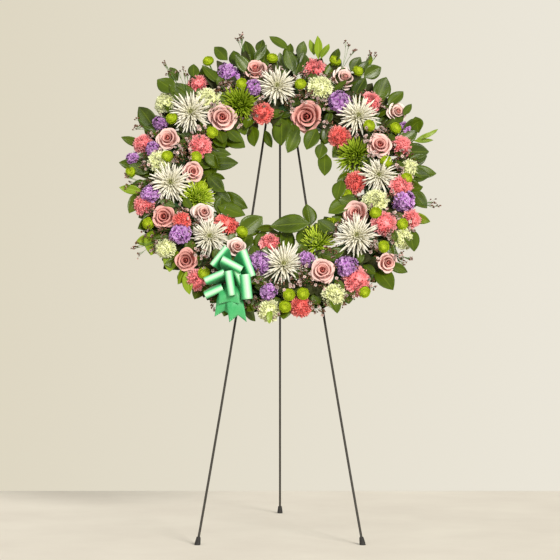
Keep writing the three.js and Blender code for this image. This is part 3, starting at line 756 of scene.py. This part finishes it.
# The roses' colours, in the order of ROSES.
ROSE_FINISH = "deep pale pale mid mid mid mid pale deep pale deep mid mid mid mid".split()
RED_CARNATIONS = ("coral_carnation_3", "coral_carnation_4", "coral_carnation_7", "coral_carnation_9",
                  "edge_carnation_5", "edge_carnation_7")
DARK_GREEN_MUMS = ("green_spider_mum_1", "green_spider_mum_4")
BUTTON_WIDTH = 37


def make_blooms():
    """Every bloom as its own piece. The larger ones stand for the CAD's nodes."""
    rose_kinds = {"deep": rose_deep, "mid": rose_mid, "pale": rose_pale}
    kinds = [  # name, places, maker, slot, whether the CAD has a node for each
        ("white_spider_mum", WHITE_MUMS, white_spider_mum, "white_petals", True),
        ("green_spider_mum", GREEN_MUMS, green_spider_mum, "green_petals", True),
        ("pink_rose", ROSES, rose, "rose_petals", True),
        ("coral_carnation", CORAL_CARNATIONS, carnation, "coral_petals", True),
        ("edge_carnation", EDGE_CARNATIONS, carnation, "coral_petals", False),
        ("pale_carnation", PALE_CARNATIONS, carnation, "pale_green_petals", False),
        ("purple_stock", STOCK, stock, "purple_petals", False),
        ("button_mum", [(*place, BUTTON_WIDTH) for place in BUTTONS], button_mum, "green_petals", False),
    ]
    plain = {"white_spider_mum": white, "pale_carnation": pale_green, "purple_stock": purple,
             "button_mum": lime}
    seed = 0
    for kind, places, maker, slot, has_node in kinds:
        for number, place in enumerate(places, 1):
            rng = np.random.default_rng(seed)
            seed += 1
            name = f"{kind}_{number}"
            if kind == "pink_rose":
                petals = rose_kinds[ROSE_FINISH[number - 1]]
            elif kind == "green_spider_mum":
                petals = green_dark if name in DARK_GREEN_MUMS else green_bright
            elif kind in ("coral_carnation", "edge_carnation"):
                petals = red if name in RED_CARNATIONS else coral
            else:
                petals = plain[kind]
            shape = maker(rng)
            place_bloom(shape, rng, kind, *place)
            if has_node:
                make_piece(f"{name}_bloom", shape, [petals, stem_green], [name])
            else:
                make_piece(name, shape, [petals, stem_green])


# ---- foliage

SECTORS = 8
FOLIAGE_SEED = 300
FILLER_SEED = 500
# Leaves as they are seen from in front: the tip's place across and up from the ring's centre, the clock
# direction that the leaf points in, its length and its width.
INNER_LEAVES = [
    (-108, 133, 127, 95, 52), (-79, 135, 173, 72, 42), (-30, 130, 158, 64, 30), (-2, 137, 180, 96, 60),
    (19, 111, 200, 88, 44), (70, 124, 205, 84, 48), (123, 37, 182, 88, 44), (160, 18, 240, 56, 32),
    (158, -45, 194, 76, 42), (133, -85, 240, 88, 52), (76, -59, 354, 70, 48), (-34, -126, 269, 116, 60),
    (-74, -142, 265, 56, 26), (-60, -98, 50, 88, 64), (-102, -75, 121, 104, 48), (-108, -98, 112, 92, 46),
    (-150, -60, 130, 70, 40), (-186, -93, 190, 58, 38), (-174, -25, 143, 78, 44), (-206, 24, 180, 74, 50),
    (-128, 77, 95, 100, 44), (-148, 106, 102, 64, 26), (-168, 21, 115, 44, 20), (-190, 60, 150, 70, 44),
    (150, 95, 215, 70, 44), (40, 150, 170, 66, 40), (110, 90, 190, 60, 38), (100, -120, 300, 70, 44),
]
OUTER_LEAVES = [
    (-198, 467, 318, 68, 38), (-110, 486, 340, 88, 50), (-37, 500, 300, 74, 34), (-45, 475, 35, 72, 28),
    (67, 485, 20, 64, 34), (288, 400, 60, 64, 46), (307, 364, 25, 88, 56), (376, 278, 30, 54, 22),
    (383, 232, 345, 60, 44), (408, 212, 60, 80, 54), (427, 118, 90, 76, 54), (449, 45, 92, 80, 42),
    (405, -13, 110, 64, 40), (414, -79, 150, 74, 42), (389, -217, 165, 90, 50), (364, -288, 115, 60, 30),
    (329, -342, 140, 94, 56), (193, -394, 170, 60, 52), (162, -425, 165, 64, 38), (4, -444, 180, 60, 50),
    (-78, -449, 150, 70, 42), (-172, -434, 200, 64, 42), (-255, -377, 205, 60, 38),
    (-416, -148, 230, 80, 48), (-438, -93, 195, 78, 38), (-468, 164, 285, 78, 28), (-474, 73, 270, 70, 34),
    (-415, 268, 322, 92, 62), (-362, 360, 310, 76, 52), (-256, 410, 0, 56, 36), (-229, 404, 340, 54, 38),
    (225, 435, 30, 60, 36), (160, 462, 15, 62, 34), (350, 320, 45, 66, 40), (-330, 395, 320, 50, 34),
    (-60, 492, 10, 50, 30), (250, 420, 40, 56, 30), (-140, 455, 350, 60, 40), (20, 478, 5, 60, 36),
]
BEHIND_LEAVES = [
    (-96, -146, 20, 84, 54), (-30, -142, 340, 84, 54), (28, -142, 20, 84, 54), (-140, -118, 40, 76, 50),
    (66, -128, 0, 84, 54), (118, -104, 330, 84, 52), (150, -76, 310, 80, 50), (0, -150, 0, 80, 50),
    (-60, -146, 0, 80, 50), (92, -122, 345, 80, 50), (-172, -92, 60, 76, 50),
]
YOUNG_LEAVES = [
    (108, 505, 2, 84, 26), (452, 176, 75, 66, 14), (440, 150, 95, 60, 14), (455, 190, 62, 56, 12),
    (427, -126, 120, 64, 32), (-274, -363, 175, 76, 32), (-330, -286, 190, 84, 50),
    (-375, -231, 185, 94, 62), (-425, -191, 250, 66, 36), (-474, -9, 275, 70, 28), (-440, 50, 265, 50, 24),
    (-36, -460, 180, 44, 18), (135, 478, 25, 60, 24), (85, 492, 350, 56, 22), (-300, -330, 200, 60, 34),
    (260, 440, 15, 50, 20),
]
# Twigs of filler that stand clear of the ring: the tip's place, and the clock direction.
OUTER_TWIGS = [
    (-345, 395, 318), (-130, 500, 340), (205, 478, 22), (268, 440, 30), (-430, 208, 285), (-460, 20, 275),
    (-430, -215, 240), (450, -55, 95), (375, -250, 125), (-200, -268, 205), (-285, 378, 350),
]


def sector_of(across, up):
    """The sector of the ring that a place lies in, clockwise from the top."""
    return int(math.degrees(math.atan2(across, up)) % 360 // (360 / SECTORS))


def listed_leaves(rng, places, low, high, rise, sector):
    """The leaves of a list that belong to a sector, as grids. Their tips are between two heights."""
    places = [place for place in places if sector_of(*place[:2]) == sector]
    if not places:
        return None
    across, up, pointing, length, width = np.array(places, float).T
    count = len(across)
    height = rng.uniform(low, high, count)
    tip = in_view(across, up, height)
    direction = ring_point(pointing, 1.0, rng.uniform(rise - 0.1, rise + 0.15, count))
    direction = unit(direction * [1, 1 / math.cos(RING_LEAN), 1])
    bend = rng.uniform(3, 10, count)
    face = TO_VIEWER + rng.uniform(-0.42, 0.42, (count, 3))
    root = tip - direction * length[:, None] + [0, 0, 1] * bend[:, None]
    return leaf_grids(rng, root, direction, face, length, width, bend)


def clear_of_heads(points, share):
    """Which points lie outside every bloom's head, shrunk to a share of its width."""
    places = np.array(heads)
    gap = np.hypot(points[:, None, 0] - places[None, :, 0], points[:, None, 1] - places[None, :, 1])
    return (gap > places[None, :, 2] * share).all(1)


def make_foliage():
    """The leaves, gathered in one piece for each sector of the ring."""
    step = 360 / SECTORS
    for sector in range(SECTORS):
        rng = np.random.default_rng(FOLIAGE_SEED + sector)
        shape = Shape()

        def spread(count):
            return (sector + (np.arange(count) + 0.5 + rng.uniform(-0.3, 0.3, count)) / count) * step

        def some(low, high, count):
            return rng.uniform(low, high, count)

        lists = [  # places, the tips' lowest and highest height, how far the leaves rise, material
            (OUTER_LEAVES, 48, 72, 0.12, 0), (YOUNG_LEAVES, 50, 74, 0.14, 1),
            (INNER_LEAVES, 52, 80, 0.16, 0), (BEHIND_LEAVES, 34, 50, 0.02, 0),
        ]
        for places, low, high, rise, slot in lists:
            grids = listed_leaves(rng, places, low, high, rise, sector)
            if grids is not None:
                shape.add(grids, some(0, 1, len(grids)), some(0, 1, len(grids)), slot, thick=0.6)

        # Rows behind the listed leaves, which point outwards (1) or inwards (-1). Material 2 is the
        # near-black leaf, its darkness painted shade.
        rows = [  # count, root distance, root height, outwards or inwards, length, width, material
            (10, (352, 368), (22, 40), 1, (62, 82), (40, 54), 2),
            (9, (372, 392), (44, 62), 1, (50, 68), (34, 46), 0),
            (8, (356, 376), (30, 50), 1, (50, 68), (34, 46), 0),
            (8, (250, 266), (30, 56), -1, (50, 66), (36, 48), 2),
            (8, (244, 262), (52, 78), -1, (48, 62), (32, 44), 0),
        ]
        for count, distance, height, reach, length, width, material in rows:
            clock = spread(count)
            grow = 48 * np.clip(np.cos(np.radians(clock)), -0.4, 1) if reach > 0 else 0
            turned_by = clock + some(-25, 25, count)
            direction = ring_point(turned_by, reach, some(0.05, 0.5, count))
            face = ring_point(clock, reach * 0.4, 1.0) + rng.uniform(-0.3, 0.3, (count, 3))
            root = ring_point(clock, some(*distance, count) + grow * 0.6, some(*height, count))
            longer = some(*length, count) + grow * 0.5
            keep = np.ones(count, bool)
            if height[1] > 60 or reach < 0:
                keep = clear_of_heads(root + direction * longer[:, None] * 0.6, 1.0)
                keep &= clear_of_heads(root + direction * longer[:, None], 0.8)
            wide, bend = some(*width, count), some(4, 14, count)
            grids = leaf_grids(rng, root, direction, face, longer, wide, bend)[keep]
            if len(grids):
                shape.add(grids, some(0, 0.6, len(grids)), some(0, 1, len(grids)), material, thick=0.5)

        # Near-black leaves that lie flat over the foam, their darkness painted shade in the gaps between
        # the blooms.
        under = 34
        clock = spread(under)
        root = ring_point(clock, some(262, 366, under), some(62, 72, under))
        direction = ring_point(clock + some(-180, 180, under), 1.0, some(-0.1, 0.15, under))
        face = ring_point(clock, 0.0, 1.0) + rng.uniform(-0.3, 0.3, (under, 3))
        grids = leaf_grids(rng, root, direction, face, some(46, 62, under), some(28, 40, under), 6)
        shape.add(grids, some(0, 0.5, under), 0.5, 2)

        # Leaves in the gaps between the blooms.
        between = 30
        clock = spread(between)
        distance = some(240, 400, between)
        root = ring_point(clock, distance, face_height(distance) - some(30, 44, between))
        direction = unit(ring_point(clock + some(-150, 150, between), 1.0, some(0.0, 0.5, between)))
        length = some(36, 54, between)
        keep = clear_of_heads(root + direction * length[:, None] * 0.7, 0.95)
        face = ring_point(clock, 0.0, 1.0) + rng.uniform(-0.4, 0.4, (between, 3))
        grids = leaf_grids(rng, root, direction, face, length, some(22, 34, between), 8)[keep]
        if len(grids):
            shape.add(grids, some(0, 0.7, len(grids)), 0.5, 0, thick=0.5)
        make_piece(f"leaves_{sector + 1}", shape, [salal, light_leaf, painted_shade_leaf],
                   [f"leaf_mat_{sector + 1}"])


OPEN_SHARE = 0.25  # of the filler's blossoms, the rest being buds
SPRIG_TRIES = 90
SPRIGS_IN_SECTOR = 26
TWIG_HEIGHT = 78


def floret(rng, open_bloom):
    """A tiny five-petalled blossom or a bud, facing +Z."""
    shape = Shape()
    tone = rng.uniform(0, 1)
    if open_bloom:
        turn = np.arange(5) * 2 * np.pi / 5
        petals = blades(rng, turn, 4.8, 35, 5, 4.4, 0.5, 1.5, (0.4, 1, 0.8), rows=3, columns=3, cup=0.4)
        shape.add(petals, tone, 0.5)
        shape.add_solid(turned([(0, -2), (1.6, 0), (1.2, 2), (0, 2.4)], 6), tone)
    else:
        shape.add_solid(turned([(0, -2.5), (1.6, -0.5), (2.2, 2), (1.2, 4), (0, 4.6)], 6), tone)
    return shape


def sprig(rng, height, stalks, spread):
    """A sprig of filler: thin stalks that carry tiny blossoms and dark buds."""
    shape = Shape()
    for _ in range(stalks):
        spin = rng.uniform(0, 2 * np.pi)
        lean = rng.uniform(0.1, spread)
        tip = np.array([np.sin(lean) * np.cos(spin), np.sin(lean) * np.sin(spin), np.cos(lean)])
        end = tip * height * rng.uniform(0.7, 1.1)
        stalk = smooth_line([(0, 0, -20), end * 0.4 + [0, 0, 4], end], 5)
        shape.add_solid(tube(stalk, 0.6, 4), 0.5, slot=2)
        for twig in range(4):
            centre = end + rng.uniform(-8, 8, 3) * (twig > 0)
            axis = unit(tip + rng.uniform(-0.6, 0.6, 3))
            head = floret(rng, rng.uniform() < OPEN_SHARE)
            shape.join(head.moved(axes_round(axis), centre))
            link = smooth_line([end * 0.75, (end * 0.75 + centre) / 2 + 1, centre - axis * 2], 3)
            shape.add_solid(tube(link, 0.4, 3), 0.5, slot=2)
    return shape


def make_filler():
    """Sprigs of filler between the blooms, and twigs that stand clear, in one piece for each sector."""
    for sector in range(SECTORS):
        rng = np.random.default_rng(FILLER_SEED + sector)
        shape = Shape()
        clock = (sector + rng.uniform(0, 1, SPRIG_TRIES)) * 360 / SECTORS
        distance = rng.uniform(222, 440, SPRIG_TRIES)
        points = ring_point(clock, distance, face_height(distance))
        keep = np.flatnonzero(clear_of_heads(points, 0.98))[:SPRIGS_IN_SECTOR]
        for k in keep:
            axis = unit(face_axis(clock[k], distance[k]) + rng.uniform(-0.3, 0.3, 3))
            base = points[k] - axis * rng.uniform(48, 62)
            shape.join(sprig(rng, 44, 3, 0.5).moved(axes_round(axis), base))
        for across, up, pointing in OUTER_TWIGS:
            if sector_of(across, up) == sector:
                axis = unit(ring_point(pointing, 1.0, 0.25))
                twig = sprig(rng, TWIG_HEIGHT, 4, 0.3)
                tip = in_view(np.array([across]), np.array([up]), np.array([76.0]))[0]
                shape.join(twig.moved(axes_round(axis), tip - axis * TWIG_HEIGHT))
        make_piece(f"filler_sprigs_{sector + 1}", shape, [blossom, bud, stem_green])


# ---- ribbon bow


def satin():
    """Green satin with painted light: a painted highlight of pale mint across each loop's turn, painted
    shade of deep green down its sides and folds towards the knot, the tails darker towards the knot as
    painted shade, and a fine weave.
    """
    n = Nodes(bpy.data.materials.new("green_satin"))
    # Of the colours below, the two darkest are painted shade, the third is the satin's own mid green, and
    # the two palest are painted highlight.
    deep = (0.0, 0.14, 0.03)
    side = (0.0, 0.3, 0.075)
    edge = (0.04, 0.5, 0.17)
    painted_highlight = (0.36, 0.74, 0.42)
    # Along each loop: painted shade towards the knot at both ends, the satin's own green, then a painted
    # highlight at the turn in the middle.
    loops = n.ramp(n.mark("along"), [
        (0.0, deep), (0.3, side), (0.4, edge), (0.455, painted_highlight), (0.5, (0.56, 0.84, 0.56)), (0.545, painted_highlight),
        (0.6, edge), (0.7, side), (1.0, deep),
    ])
    # The tails: painted shade at the knot end, lighter towards their ends.
    tails = n.ramp(n.mark("along"), [(0.0, deep), (0.5, (0.0, 0.3, 0.07)), (1.0, (0.04, 0.37, 0.11))])
    crest = n.mix(n.mark("layer"), tails, loops)
    weave = n.node("ShaderNodeTexWave", {"Scale": 900.0, "Distortion": 0.6}, bands_direction="DIAGONAL")
    n.put(weave.inputs["Vector"], n.node("ShaderNodeTexCoord").outputs["Object"])
    colour = n.mix(n.sum(n.noise(35, 2.0), 0.12, "MULTIPLY"), crest, (0.6, 0.9, 0.66))
    n.bump(weave.outputs["Fac"], 0.0001, 0.25)
    return n.finish(colour, 0.42, Sheen_Weight=0.2, Sheen_Roughness=0.4, Specular_IOR_Level=0.4)


def ribbon_loop(knot, end, run, width, gap, columns=13):
    """One loop: out from the knot, round a turn at end that faces the viewer, and back. run is the ribbon's
    own width direction at the turn, and gap is how thick the turn is."""
    out = end - knot
    run = unit(run - (run @ TO_VIEWER) * TO_VIEWER)
    facing = unit(0.5 * unit(out) + 0.9 * TO_VIEWER)
    facing = unit(facing - (facing @ run) * run)
    apart = np.cross(facing, run)
    reach = np.linalg.norm(out)
    turn = np.linspace(0, np.pi, 9)[:, None]
    bend = end + gap / 2 * (apart * -np.cos(turn) + facing * (np.sin(turn) - 1))
    t = np.linspace(0, 1, 9)[:-1, None]
    sides = []
    for side, corner in ((-1, bend[0]), (1, bend[-1])):
        start = knot + apart * side * 2.5
        pull = corner - facing * reach * 0.45 + apart * side * gap * 0.16
        sides.append((1 - t) ** 2 * start + 2 * t * (1 - t) * pull + t**2 * corner)
    path = np.concatenate([sides[0], bend, sides[1][::-1]])
    share = np.concatenate([t[:, 0], np.ones(9), t[::-1, 0]])
    gathered = 0.3 + 0.7 * np.sin(np.pi / 2 * share) ** 1.2
    x = np.linspace(-1, 1, columns)
    pleat = 4.2 * np.cos(3 * np.pi * x)[None] * (1 - share[:, None]) ** 2
    half = width / 2 * gathered[:, None] * x[None]
    return (path[:, None] + run * half[..., None] + apart * pleat[..., None])[None]


RIBBON_THICKNESS = 0.45
KNOT_BEHIND = 44  # how far the knot lies behind the bow's middle
SET_BACK = 14
# The bow's loops as seen from in front: the middle of the turn beside the bow's middle, how far it stands
# out, the direction its edge runs in, the ribbon's width there and the turn's thickness.
BOW_LOOPS = [
    (-32, 70, 18, (-44, -55), 68, 17), (7, 47, 34, (56, -30), 66, 22), (54, 49, 24, (26, -72), 80, 23),
    (-44, 11, 28, (-53, -23), 62, 20), (2, -9, 44, (11, -70), 72, 22), (-46, -34, 20, (-47, -21), 56, 21),
    (51, -19, 34, (7, -65), 72, 30), (26, 12, 20, (30, -60), 60, 20),
]
# Its tails: the middle of the end, how far it stands out, the width and how far the notch goes in.
BOW_TAILS = [(-16, -98, 2, 56, 16), (24, -112, 10, 50, 20), (-2, -66, 20, 60, 6)]


def make_bow():
    """Loops that stand round a knot, their turns towards the viewer, and three notched tails."""
    bow_low, bow_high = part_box("ribbon_bow")
    middle = (np.array(bow_low) + np.array(bow_high)) / 2 - ring_centre
    middle = np.array([middle @ ring_right, middle @ ring_up, middle @ ring_out]) / MM
    upright = np.array([0.0, math.cos(RING_LEAN), math.sin(RING_LEAN)])
    knot = middle - TO_VIEWER * KNOT_BEHIND
    shape = Shape()
    for across, up, out, run, width, gap in BOW_LOOPS:
        end = middle + np.array([across, 0, 0]) + upright * up + TO_VIEWER * (out - SET_BACK)
        edge = np.array([run[0], 0, 0]) + upright * run[1]
        loop = ribbon_loop(knot, end, unit(edge), width, gap)
        shape.add(loop, layer=1.0, thick=RIBBON_THICKNESS, capped=True)
    sideways = np.array([[0, 0, 1], [0, 1, 0], [1, 0, 0]])
    band = turned([(8, -12), (11, -6), (11.5, 0), (11, 6), (8, 12)]) @ sideways
    shape.add_solid(band + knot + TO_VIEWER * 4, 0.5, slot=0)
    satin_green = satin()
    bow = make_piece("ribbon_bow_loops", shape, [satin_green], ["ribbon_bow"])

    tails = Shape()
    for across, up, out, width, notch in BOW_TAILS:
        t = np.linspace(0, 1, 17)[:, None]
        x = np.linspace(-1, 1, 9)[None]
        end = middle + np.array([across, 0, 0]) + upright * up + TO_VIEWER * (out - SET_BACK)
        line = knot + (end - knot) * t + TO_VIEWER * 20 * np.sin(np.pi * t)
        half = width / 2 * (0.35 + 0.65 * np.sin(np.pi / 2 * np.clip(1.7 * t, 0, 1)))
        cut = notch * np.clip((t - 0.75) / 0.25, 0, 1) * (0.5 - np.abs(x))
        curl = 4 * np.sin(4 * t + 2.4 * x)
        sheet = line[:, None] + half[..., None] * x[..., None] * ring_right + cut[..., None] * upright
        sheet = (sheet + curl[..., None] * TO_VIEWER)[None, :, ::-1]
        tails.add(sheet, layer=0.0, thick=RIBBON_THICKNESS, capped=True)
    hanging = make_piece("ribbon_tails", tails, [satin_green], ["bow_tails"])


# ---- easel, foam and tray


def finish_cad_nodes():
    """The nodes whose shapes are right keep them, and get real materials."""
    finishes = {"foam_ring": foam_green, "foam_tray": tray_green}
    for name in ("front_left_foot_tip", "front_right_foot_tip", "rear_foot_tip"):
        finishes[name] = rubber
    for name in ("front_left_leg", "front_right_leg", "rear_leg", "top_bridge", "crossbar",
                 "wreath_rest_left", "wreath_rest_right", "hanging_wire", "bow_pick"):
        finishes[name] = wire_black
    for name, material in finishes.items():
        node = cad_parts[name]
        if not node.material_slots:
            node.data.materials.append(material)
        for place in node.material_slots:
            place.material = material


# ---- stage, light and camera


def make_stage():
    """A plain pale floor. It ends behind the object, where the pale surroundings begin."""
    near, far, side = -9.0, 1.1, 9.0
    mesh = bpy.data.meshes.new("floor")
    corners = [(-side, near, 0), (side, near, 0), (side, far, 0), (-side, far, 0)]
    mesh.from_pydata(corners, [], [(0, 1, 2, 3)])
    floor = bpy.data.objects.new("floor", mesh)
    bpy.context.collection.objects.link(floor)
    pale = plain_material("pale_floor", (0.78, 0.735, 0.66), (0.84, 0.8, 0.72), 0.9, 3, 0.0002,
                          Specular_IOR_Level=0.1)
    mesh.materials.append(pale)


def make_surroundings():
    """Cream all round: brightest low down behind the object, where it is the wall, and dimmer elsewhere.
    The wall is darker to the left, painted shade.
    """
    world = bpy.data.worlds.new("studio")
    bpy.context.scene.world = world
    n = Nodes(world)
    split = n.node("ShaderNodeSeparateXYZ", {"Vector": n.node("ShaderNodeTexCoord").outputs["Generated"]})

    def blend(axis, low, high, first, second):
        """Goes from one colour to another while a direction's part along an axis goes from low to high."""
        inputs = {"Value": split.outputs[axis], "From Min": low, "From Max": high}
        return n.mix(n.node("ShaderNodeMapRange", inputs).outputs["Result"], first, second)

    # The wall goes from darker on the left to lighter on the right: painted shade across the backdrop.
    wall = blend("X", -0.13, 0.13, (0.735, 0.68, 0.545), (0.83, 0.79, 0.69))
    low_down = blend("Z", -0.14, -0.11, (0.8, 0.76, 0.66), wall)
    above = blend("Z", 0.25, 0.6, low_down, (0.42, 0.41, 0.38))
    front = blend("Y", -0.1, 0.5, (0.5, 0.48, 0.43), above)
    background = n.tree.nodes["Background"]
    n.put(background.inputs["Color"], front)
    background.inputs["Strength"].default_value = 1.0


def soft_light(name, place, target, spread, strength, colour):
    """A broad light from far away, so that the floor is lit alike on every side. spread is its width in
    degrees."""
    light = bpy.data.lights.new(name, "SUN")
    light.angle = math.radians(spread)
    light.energy = strength
    light.color = colour
    lamp = bpy.data.objects.new(name, light)
    lamp.location = place
    lamp.rotation_mode = "QUATERNION"
    lamp.rotation_quaternion = (Vector(target) - Vector(place)).to_track_quat("-Z", "Y")
    bpy.context.collection.objects.link(lamp)


def make_lights():
    """A warm key from the right and a weak cool fill from the left, both in front."""
    target = (0, 0, 0.9)
    soft_light("key", (4.8, -8.8, 5.5), target, 19, 3.35, (1.0, 0.96, 0.89))
    soft_light("fill", (-6.4, -9.2, 3.1), target, 26, 0.8, (0.97, 0.98, 1.0))


def make_camera():
    """The photograph's view: level, from straight in front, with the lens at half the object's height."""
    data = bpy.data.cameras.new("camera")
    data.sensor_width = 36
    data.lens = 132.9
    camera = bpy.data.objects.new("camera", data)
    camera.location = EYE
    camera.rotation_euler = (math.radians(90), 0, 0)
    bpy.context.collection.objects.link(camera)
    bpy.context.scene.camera = camera


make_camera()
finish_cad_nodes()
make_blooms()
make_foliage()
make_filler()
make_bow()
make_stage()
make_surroundings()
make_lights()
bpy.context.scene.view_settings.view_transform = "Standard"
